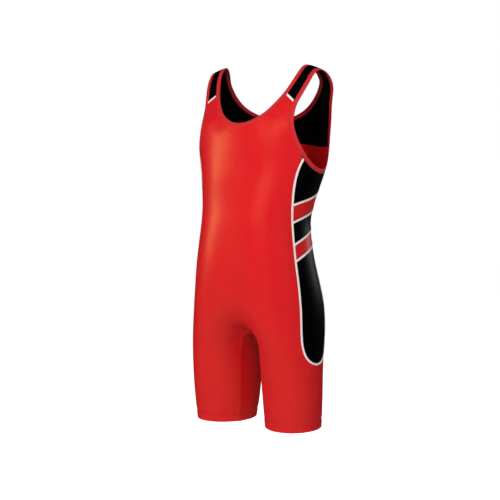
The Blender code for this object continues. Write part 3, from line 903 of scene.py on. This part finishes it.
threads["red"].append(plain_seam("leg_seam_stitches", "back_panel", "front_panel"))
threads["black"] = [plain_seam("yoke_seam_stitches", "back_yoke", "back_panel")]

# %% [markdown]
# The cloth is a fine stretch knit. Seen close, its face is columns of small V-shaped loops,
# called wales. The group below draws them from the cut map in metres, as a height for the bump
# and as a colour with painted shade in the grooves and a faint unevenness of the dye over all.
# Three helpers come first. A Mix node has sockets of the same name for numbers, vectors and
# colours, so the colour ones are found by their place in the row.

# %% Shader helpers
MIX_SHARE = 0
MIX_FIRST = 6
MIX_SECOND = 7
MIX_RESULT = 2


def number_node(tree, operation, first, second=None, third=None):
    """A Math node with sockets or numbers as its inputs."""
    node = tree.nodes.new("ShaderNodeMath")
    node.operation = operation
    for socket, value in zip(node.inputs, (first, second, third)):
        if isinstance(value, bpy.types.NodeSocket):
            tree.links.new(value, socket)
        elif value is not None:
            socket.default_value = value
    return node.outputs[0]


def mixed_colour(tree, share, first, second, blend="MIX"):
    """A colour mix, with sockets or colours as its inputs."""
    node = tree.nodes.new("ShaderNodeMix")
    node.data_type = "RGBA"
    node.blend_type = blend
    for index, value in ((MIX_SHARE, share), (MIX_FIRST, first), (MIX_SECOND, second)):
        socket = node.inputs[index]
        if isinstance(value, bpy.types.NodeSocket):
            tree.links.new(value, socket)
        else:
            socket.default_value = value
    return node.outputs[MIX_RESULT]


def new_material(name, colour):
    """A material with nodes, its tree and its main shader; the colour is for plain views."""
    material = bpy.data.materials.new(name)
    material.use_nodes = True
    material.diffuse_color = (*colour, 1.0)
    return material, material.node_tree, material.node_tree.nodes["Principled BSDF"]


# %% [markdown]
# Across the cloth the map is divided by the width of a wale, and the size of a sine gives one
# rounded rib for each. Along the cloth a second sine gives the loops. It leans with the
# distance from the middle of the wale, which is what makes the loops V-shaped.

# %% The knit group
KNIT_INPUTS = (
    ("Wale Width", 0.75 * MM),
    ("Course Height", 0.55 * MM),
    ("Groove Painted Shade", 0.35),
    ("Unevenness", 0.06),
)
RIB_ROUNDNESS = 0.6
LOOP_LEAN = 1.4
LOOP_DEPTH = 0.18
DYE_SCALE = 22.0
DYE_DETAIL = 4.0


def knit_group():
    """Columns of V-shaped loops, from a map in metres, with painted shade in the grooves."""
    tree = bpy.data.node_groups.new("knit_face", "ShaderNodeTree")
    face = tree.interface
    face.new_socket("Map", in_out="INPUT", socket_type="NodeSocketVector")
    for name, size in KNIT_INPUTS:
        face.new_socket(name, in_out="INPUT", socket_type="NodeSocketFloat").default_value = size
    face.new_socket("Colour", in_out="INPUT", socket_type="NodeSocketColor")
    face.new_socket("Colour", in_out="OUTPUT", socket_type="NodeSocketColor")
    face.new_socket("Height", in_out="OUTPUT", socket_type="NodeSocketFloat")
    given = tree.nodes.new("NodeGroupInput").outputs
    parts = tree.nodes.new("ShaderNodeSeparateXYZ")
    tree.links.new(given["Map"], parts.inputs[0])
    wale = number_node(tree, "DIVIDE", parts.outputs[0], given["Wale Width"])
    course = number_node(tree, "DIVIDE", parts.outputs[1], given["Course Height"])
    wave = number_node(tree, "SINE", number_node(tree, "MULTIPLY", wale, math.pi))
    rib = number_node(tree, "POWER", number_node(tree, "ABSOLUTE", wave), RIB_ROUNDNESS)
    slant = number_node(tree, "PINGPONG", wale, 0.5)
    lean = number_node(tree, "MULTIPLY_ADD", slant, LOOP_LEAN, course)
    loops = number_node(tree, "SINE", number_node(tree, "MULTIPLY", lean, 2 * math.pi))
    loops = number_node(tree, "MULTIPLY_ADD", loops, LOOP_DEPTH, 1 - LOOP_DEPTH)
    height = number_node(tree, "MULTIPLY", rib, loops)
    cloud = tree.nodes.new("ShaderNodeTexNoise")
    cloud.inputs["Scale"].default_value = DYE_SCALE
    cloud.inputs["Detail"].default_value = DYE_DETAIL
    tree.links.new(given["Map"], cloud.inputs["Vector"])
    uneven = number_node(tree, "SUBTRACT", cloud.outputs[0], 0.5)
    uneven = number_node(tree, "MULTIPLY", uneven, given["Unevenness"])
    # the grooves between the loops are painted darker, which is painted shade; the dye's unevenness is
    # added to it
    groove = number_node(tree, "SUBTRACT", 1.0, height)
    groove = number_node(tree, "MULTIPLY", groove, given["Groove Painted Shade"])
    light = number_node(tree, "ADD", number_node(tree, "SUBTRACT", 1.0, groove), uneven)
    tint = tree.nodes.new("ShaderNodeCombineColor")
    for socket in tint.inputs:
        tree.links.new(light, socket)
    colour = mixed_colour(tree, 1.0, given["Colour"], tint.outputs[0], "MULTIPLY")
    result = tree.nodes.new("NodeGroupOutput").inputs
    tree.links.new(colour, result["Colour"])
    tree.links.new(height, result["Height"])
    return tree


KNIT = knit_group()
print("knit nodes:", len(KNIT.nodes))

# %% [markdown]
# Each cloth has its own material, because the dye, the gloss and the soft bloom of the fibres
# differ. The inside of a band is a darker red than its outside, which is painted shade. The even
# values sit on the shader's own sockets. The bump is slight: the loops are less than a millimetre
# wide and only break up the shine.

# %% Make the knit materials
SHEEN_ROUGHNESS = 0.4
COURSE_PER_WALE = 0.75
# how much darker the grooves between the loops are painted, as painted shade
GROOVE_PAINTED_SHADE = 0.30
DYE_UNEVENNESS = 0.08
LOOP_HEIGHT = 0.1 * MM
CLOTH_COLUMNS = ("colour", "roughness", "specular", "specular_tint", "sheen", "sheen_tint", "wale", "bump")
CLOTHS = {
    "red_knit": (
        (0.715, 0.0120, 0.019), 0.33, 0.40, (1.0, 0.90, 0.34), 0.02, (1.0, 0.60, 0.35), 0.75 * MM, 0.20,
    ),
    "red_inside": (
        (0.75, 0.008, 0.012), 0.60, 0.05, (1.0, 0.80, 0.50), 0.0, (1.0, 0.60, 0.40), 0.75 * MM, 0.25,
    ),
    "red_band": (
        (0.620, 0.028, 0.034), 0.45, 0.32, (1.0, 0.85, 0.50), 0.08, (1.0, 0.60, 0.50), 0.85 * MM, 0.30,
    ),
    # the inside of a band: matt, and a darker red that is painted shade where the band is seen from within
    "red_band_painted_shade": (
        (0.340, 0.012, 0.020), 0.55, 0.10, (1.0, 0.85, 0.50), 0.0, (1.0, 0.60, 0.50), 0.85 * MM, 0.30,
    ),
    "black_knit": (
        (0.0010, 0.0010, 0.0018), 0.38, 0.20, (0.9, 0.95, 1.0), 0.0, (0.8, 0.85, 0.9), 0.75 * MM, 0.25,
    ),
    "black_inside": (
        (0.0010, 0.0010, 0.0014), 0.60, 0.02, (1.0, 1.0, 1.0), 0.0, (0.8, 0.85, 0.9), 0.75 * MM, 0.20,
    ),
    "white_tape": (
        (0.940, 0.870, 0.850), 0.60, 0.30, (1.0, 1.0, 1.0), 0.15, (1.0, 1.0, 1.0), 1.00 * MM, 0.35,
    ),
}


def cloth_material(name):
    """A knit material from a row of the table."""
    row = dict(zip(CLOTH_COLUMNS, CLOTHS[name]))
    material, tree, shader = new_material(name, row["colour"])
    shader.inputs["Roughness"].default_value = row["roughness"]
    shader.inputs["Specular IOR Level"].default_value = row["specular"]
    shader.inputs["Specular Tint"].default_value = (*row["specular_tint"], 1.0)
    shader.inputs["Sheen Weight"].default_value = row["sheen"]
    shader.inputs["Sheen Tint"].default_value = (*row["sheen_tint"], 1.0)
    shader.inputs["Sheen Roughness"].default_value = SHEEN_ROUGHNESS
    cut = tree.nodes.new("ShaderNodeUVMap")
    cut.uv_map = FLAT_MAP
    knit = tree.nodes.new("ShaderNodeGroup")
    knit.node_tree = KNIT
    knit.inputs["Wale Width"].default_value = row["wale"]
    knit.inputs["Course Height"].default_value = row["wale"] * COURSE_PER_WALE
    knit.inputs["Groove Painted Shade"].default_value = GROOVE_PAINTED_SHADE
    knit.inputs["Unevenness"].default_value = DYE_UNEVENNESS
    knit.inputs["Colour"].default_value = (*row["colour"], 1.0)
    tree.links.new(cut.outputs[0], knit.inputs["Map"])
    tree.links.new(knit.outputs["Colour"], shader.inputs["Base Color"])
    bump = tree.nodes.new("ShaderNodeBump")
    bump.inputs["Strength"].default_value = row["bump"]
    bump.inputs["Distance"].default_value = LOOP_HEIGHT
    tree.links.new(knit.outputs["Height"], bump.inputs["Height"])
    tree.links.new(bump.outputs[0], shader.inputs["Normal"])
    return material


cloths = {name: cloth_material(name) for name in CLOTHS}
print("cloths:", list(cloths))

# %% [markdown]
# A sewing thread is twisted from fine plies. They are too small to model, so a very fine noise
# on the object's own coordinates mottles the thread between a darker and a lighter shade.

# %% Make the thread materials
THREADS = {"red": (0.36, 0.010, 0.014), "white": (0.88, 0.84, 0.82), "black": (0.008, 0.008, 0.010)}
THREAD_ROUGHNESS = 0.45
PLY_SCALE = 2500.0
PLY_SHADE = 0.7


def thread_material(name, colour):
    """Sewing thread, mottled by its plies."""
    material, tree, shader = new_material(name, colour)
    shader.inputs["Roughness"].default_value = THREAD_ROUGHNESS
    place = tree.nodes.new("ShaderNodeTexCoord")
    plies = tree.nodes.new("ShaderNodeTexNoise")
    plies.inputs["Scale"].default_value = PLY_SCALE
    tree.links.new(place.outputs["Object"], plies.inputs["Vector"])
    dark = tuple(PLY_SHADE * value for value in colour)
    mixed = mixed_colour(tree, plies.outputs[0], (*dark, 1.0), (*colour, 1.0))
    tree.links.new(mixed, shader.inputs["Base Color"])
    return material


# %% [markdown]
# Each piece gets its material and the slot of the same colour. A panel has one material outside
# and one inside, because the inside is matt. A band is one closed loop, so its inside faces are
# found by direction: they look back at a point on the middle line of the garment. Round the
# neck and shoulders that point stays at chest height and follows the strap a little sideways.
# Those inside faces get a darker, matt red: painted shade where the band is seen from within.

# %% Dress the pieces
BLACK_PARTS = ("back_yoke", "side_upper", "side_middle", "side_lower")
CHEST_Z = -0.15
FOLLOWS_STRAP = 0.6
INSIDE_FACING = -0.15


def dress(piece, material, inside=None):
    """Give a piece its material, a panel also one inside, and the slot of the same colour."""
    if inside:
        piece.data.materials[0] = material
        piece.data.materials[1] = inside
    else:
        piece.data.materials.append(material)


def dress_inside_painted_shade(piece, material):
    """Give the faces of a band that look inward a darker red material, which is painted shade."""
    piece.data.materials.append(material)
    for polygon in piece.data.polygons:
        place = polygon.center
        middle = Vector((place.x * FOLLOWS_STRAP, AXIS.y, min(place.z, CHEST_Z)))
        if polygon.normal.dot((place - middle).normalized()) < INSIDE_FACING:
            polygon.material_index = 1


for node, piece in panels.items():
    colour = "black" if node.startswith(BLACK_PARTS) else "red"
    dress(piece, cloths[colour + "_knit"], cloths[colour + "_inside"])
for piece in bindings.values():
    dress(piece, cloths["red_band"])
    dress_inside_painted_shade(piece, cloths["red_band_painted_shade"])
for piece in tapes.values():
    dress(piece, cloths["white_tape"])
for colour, pieces in threads.items():
    material = thread_material(colour + "_thread", THREADS[colour])
    for piece in pieces:
        dress(piece, material)
print("dressed:", len(panels) + len(bindings) + len(tapes) + sum(map(len, threads.values())))

# %% [markdown]
# Every panel and band is a sheet of cloth, so it says how large the part of it that shows was
# cut: its width all round, its length, and its area where it isn't a rectangle. A tape is
# narrower than any sheet and goes with the panel that it is sewn to, and so do the stitches.
# A band is cut much wider and folded; the width here is what shows outside, with its fold.

SHEETS = [
    # node, width, length, area, the panel that holds it and the pieces that go with it
    ("front_panel", 0.56, 0.80, 0.285, "back_yoke", ["hem_stitches", "leg_seam_stitches"]),
    ("back_panel", 0.62, 0.69, 0.235, "back_yoke", []),
    ("back_yoke", 0.33, 0.26, 0.036, "back_panel", ["yoke_seam_stitches"]),
    ("neck_binding", 0.0125, 0.95, None, "back_yoke", ["neck_band_stitches"]),
]
for side in SIDES:
    band = "armhole_band_" + side + "_stitches"
    bars = ["white_cross_tape_%d_%s" % (number, side) for number in CROSS_TAPES]
    ends = ["white_side_tape_" + side, "white_strap_bar_" + side, "tape_stitches_" + side]
    SHEETS += [
        ("armhole_binding_" + side, 0.0125, 0.63, None, "back_yoke", [band]),
        ("side_upper_" + side, 0.120, 0.110, 0.0093, "front_panel", []),
        ("side_bar_1_" + side, 0.125, 0.042, 0.0051, "front_panel", bars[:2]),
        ("side_middle_" + side, 0.118, 0.049, 0.0056, "front_panel", []),
        ("side_bar_2_" + side, 0.112, 0.040, 0.0043, "front_panel", bars[2:]),
        ("side_lower_" + side, 0.120, 0.280, 0.0296, "front_panel", ends),
    ]
print("sheets:", len(SHEETS))

# %% [markdown]
# The set is plain: a pale floor well below the garment, which hangs clear of it. The camera
# sees the floor glow, so that it is as white as the surround. The floor doesn't show in the
# sheen of the cloth, because its grey would wash out the red of the legs.

# %% Floor
FLOOR_Z = -1.30
FLOOR_SIZE = 120.0
FLOOR_WHITE = (0.90, 0.90, 0.90)
FLOOR_ROUGHNESS = 0.9
FLOOR_GLOW = 0.92
WHITE = (1.0, 1.0, 1.0, 1.0)
bpy.ops.object.select_all(action="DESELECT")
bpy.ops.mesh.primitive_plane_add(size=FLOOR_SIZE, location=(0, 0, FLOOR_Z))
floor = bpy.context.object
floor.name = "floor"
floor.visible_glossy = False
paint, tree, shader = new_material("pale_floor", FLOOR_WHITE)
shader.inputs["Base Color"].default_value = (*FLOOR_WHITE, 1.0)
shader.inputs["Roughness"].default_value = FLOOR_ROUGHNESS
shader.inputs["Emission Color"].default_value = WHITE
seen = tree.nodes.new("ShaderNodeLightPath")
glow = number_node(tree, "MULTIPLY", seen.outputs["Is Camera Ray"], FLOOR_GLOW)
tree.links.new(glow, shader.inputs["Emission Strength"])
floor.data.materials.append(paint)
print("floor at", FLOOR_Z)

# %% [markdown]
# Five soft lights stand round the garment. A small warm one at the front left draws the upright
# sheen on the cloth, and a small cool one behind right edges the black. The three broad ones,
# above in front, at the right and behind left, only fill: they light the cloth but don't show
# in its sheen.

# %% Lights
LIGHTS = (
    # name, azimuth, height, distance, width, tall, power, colour, whether the sheen shows it
    ("key_softbox", -56.0, 0.38, 2.4, 0.7, 0.9, 12.0, (1.0, 0.86, 0.58), True),
    ("front_softbox", 6.0, 1.30, 2.5, 1.4, 1.4, 63.0, (1.0, 0.98, 0.96), False),
    ("right_softbox", 78.0, 0.90, 2.4, 1.2, 1.6, 23.0, (1.0, 0.99, 0.98), False),
    ("rear_softbox", 165.0, 0.30, 2.4, 0.4, 0.5, 3.2, (0.94, 0.97, 1.0), True),
    ("back_softbox", -140.0, 0.70, 2.8, 1.4, 1.8, 20.0, (1.0, 1.0, 1.0), False),
)
GARMENT_MIDDLE = Vector((0.0, -0.034, -0.439))
for name, azimuth, height, distance, width, tall, power, colour, shines in LIGHTS:
    light = bpy.data.lights.new(name, "AREA")
    light.shape = "RECTANGLE"
    light.size = width
    light.size_y = tall
    light.energy = power
    light.color = colour
    lamp = new_object(name, light)
    angle = math.radians(azimuth)
    aside = Vector((math.sin(angle) * distance, -math.cos(angle) * distance, height))
    lamp.location = GARMENT_MIDDLE + aside
    lamp.rotation_euler = (GARMENT_MIDDLE - lamp.location).to_track_quat("-Z", "Y").to_euler()
    lamp.visible_glossy = shines
print("lights:", len(LIGHTS))

# %% [markdown]
# The surround is pure white to the camera. On the cloth it adds only a faint even light, and
# it doesn't show in the sheen.

# %% Surround
SURROUND_LIGHT = 0.11
world = bpy.data.worlds.new("white_surround")
world.use_nodes = True
tree = world.node_tree
surround = tree.nodes["Background"]
surround.inputs["Color"].default_value = WHITE
seen = tree.nodes.new("ShaderNodeLightPath")
soft = number_node(tree, "MULTIPLY", seen.outputs["Is Diffuse Ray"], SURROUND_LIGHT)
strength = number_node(tree, "ADD", seen.outputs["Is Camera Ray"], soft)
tree.links.new(strength, surround.inputs["Strength"])
bpy.context.scene.world = world
bpy.context.scene.view_settings.view_transform = "Standard"
print("surround light:", SURROUND_LIGHT)

# %% [markdown]
# The camera stands as the photographer did: turned from the front towards the wearer's left
# side, somewhat above the garment's middle and looking a little down, with a long lens.

# %% Camera
CAMERA_AZIMUTH = math.radians(34.0)
CAMERA_DISTANCE = 2.8034
CAMERA_Z = -0.1832
FOCAL_PIXELS = 1164.9
FRAME_PIXELS = 500.0
MIDDLE_PIXEL = 257.5
SENSOR = 36.0
FAR_CLIP = 50.0
LOOK_AT_Z = -0.4391
camera_data = bpy.data.cameras.new("camera")
camera_data.sensor_width = SENSOR
camera_data.lens = FOCAL_PIXELS / FRAME_PIXELS * SENSOR
camera_data.shift_x = (FRAME_PIXELS / 2 - MIDDLE_PIXEL) / FRAME_PIXELS
camera_data.clip_end = FAR_CLIP
camera = new_object("camera", camera_data)
camera.location = (
    math.sin(CAMERA_AZIMUTH) * CAMERA_DISTANCE,
    GARMENT_MIDDLE.y - math.cos(CAMERA_AZIMUTH) * CAMERA_DISTANCE,
    CAMERA_Z,
)
target = Vector((0.0, GARMENT_MIDDLE.y, LOOK_AT_Z))
camera.rotation_euler = (target - camera.location).to_track_quat("-Z", "Y").to_euler()
bpy.context.scene.camera = camera
print("lens:", round(camera_data.lens, 2), "mm")
